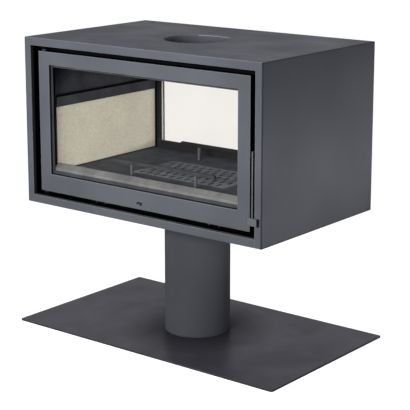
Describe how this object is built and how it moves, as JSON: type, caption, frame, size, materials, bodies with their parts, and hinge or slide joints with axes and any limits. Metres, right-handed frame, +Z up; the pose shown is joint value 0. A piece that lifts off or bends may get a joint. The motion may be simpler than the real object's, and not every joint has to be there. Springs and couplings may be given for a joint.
{
  "type": "wood burning stove",
  "caption": "Double-sided wood burning stove: steel casing on a round pedestal and base plate, glazed hinged doors front and rear, lined firebox, grate and top flue socket.",
  "frame": {"origin": "bottom centre of the base plate, on the floor", "axes": "+Z up, -Y towards the front door, +X to the right as seen from the front"},
  "size_m": [0.99, 0.59, 0.915],
  "materials": {
    "satin_paint": "satin anthracite stove paint",
    "firebox_steel": "matt dark heat-proof paint",
    "cast_iron": "raw grey casting",
    "mineral_board": "pressed mineral fire board, matt",
    "glass": "clear ceramic fire glass",
    "rope": "black glass-fibre rope and tape",
    "bright_steel": "plain turned steel"
  },
  "bodies": {
    "stove": {"ash_pan": "firebox_steel", "baffle_board": "mineral_board", "base_plate": "satin_paint", "carrier_plate": "firebox_steel", "casing_base": "satin_paint", "casing_ties": "firebox_steel", "casing_wrap": "satin_paint", "firebox_floor": "firebox_steel", "firebox_roof": "firebox_steel", "flue_collar": "firebox_steel", "front_face_frame": "firebox_steel", "front_hinge_brackets": "firebox_steel", "front_hinge_bushes": "bright_steel", "front_hinge_pins": "bright_steel", "front_latch_keeper": "firebox_steel", "front_sill": "firebox_steel", "head_bolts": "bright_steel", "hearth_plate": "cast_iron", "left_baffle_rail": "firebox_steel", "left_bearer": "firebox_steel", "left_firebox_wall": "firebox_steel", "left_liner": "mineral_board", "left_liner_rail": "firebox_steel", "pedestal_head_ring": "firebox_steel", "pedestal_tube": "satin_paint", "rear_face_frame": "firebox_steel", "rear_hinge_brackets": "firebox_steel", "rear_hinge_bushes": "bright_steel", "rear_hinge_pins": "bright_steel", "rear_latch_keeper": "firebox_steel", "rear_sill": "firebox_steel", "right_baffle_rail": "firebox_steel", "right_bearer": "firebox_steel", "right_firebox_wall": "firebox_steel", "right_liner": "mineral_board", "right_liner_rail": "firebox_steel"},
    "grate": {"grate": "cast_iron"},
    "front_log_guard": {"front_log_guard": "cast_iron"},
    "rear_log_guard": {"rear_log_guard": "cast_iron"},
    "front_door": {"front_door_frame": "satin_paint", "front_door_glass": "glass", "front_glass_tape": "rope", "front_glass_retainers": "firebox_steel", "front_rope_seal": "rope", "front_handle_pivot": "bright_steel"},
    "rear_door": {"rear_door_frame": "satin_paint", "rear_door_glass": "glass", "rear_glass_tape": "rope", "rear_glass_retainers": "firebox_steel", "rear_rope_seal": "rope", "rear_handle_pivot": "bright_steel"},
    "front_handle": {"front_handle_lever": "satin_paint"},
    "rear_handle": {"rear_handle_lever": "satin_paint"},
    "front_air_slide": {"front_air_slide": "satin_paint"},
    "rear_air_slide": {"rear_air_slide": "satin_paint"}
  },
  "joints": [
    {"name": "front_door_hinge", "type": "hinge", "parent": "stove", "child": "front_door", "pos_m": [-0.3905, -0.256, 0.657], "axis": [0, 0, -1], "range_deg": [0, 110]},
    {"name": "front_handle_lift", "type": "hinge", "parent": "front_door", "child": "front_handle", "pos_m": [0.4175, -0.26, 0.656], "axis": [-1, 0, 0], "range_deg": [0, 45]},
    {"name": "front_air_slide_travel", "type": "slide", "parent": "front_door", "child": "front_air_slide", "axis": [1, 0, 0], "range_m": [-0.006, 0.006]},
    {"name": "front_log_guard_lift", "type": "slide", "parent": "stove", "child": "front_log_guard", "axis": [0, 0, 1], "range_m": [0, 0.12]},
    {"name": "rear_door_hinge", "type": "hinge", "parent": "stove", "child": "rear_door", "pos_m": [0.3905, 0.256, 0.657], "axis": [0, 0, -1], "range_deg": [0, 110]},
    {"name": "rear_handle_lift", "type": "hinge", "parent": "rear_door", "child": "rear_handle", "pos_m": [-0.4175, 0.26, 0.656], "axis": [1, 0, 0], "range_deg": [0, 45]},
    {"name": "rear_air_slide_travel", "type": "slide", "parent": "rear_door", "child": "rear_air_slide", "axis": [-1, 0, 0], "range_m": [-0.006, 0.006]},
    {"name": "rear_log_guard_lift", "type": "slide", "parent": "stove", "child": "rear_log_guard", "axis": [0, 0, 1], "range_m": [0, 0.12]},
    {"name": "grate_lift", "type": "slide", "parent": "stove", "child": "grate", "axis": [0, 0, 1], "range_m": [0, 0.12]}
  ]
}
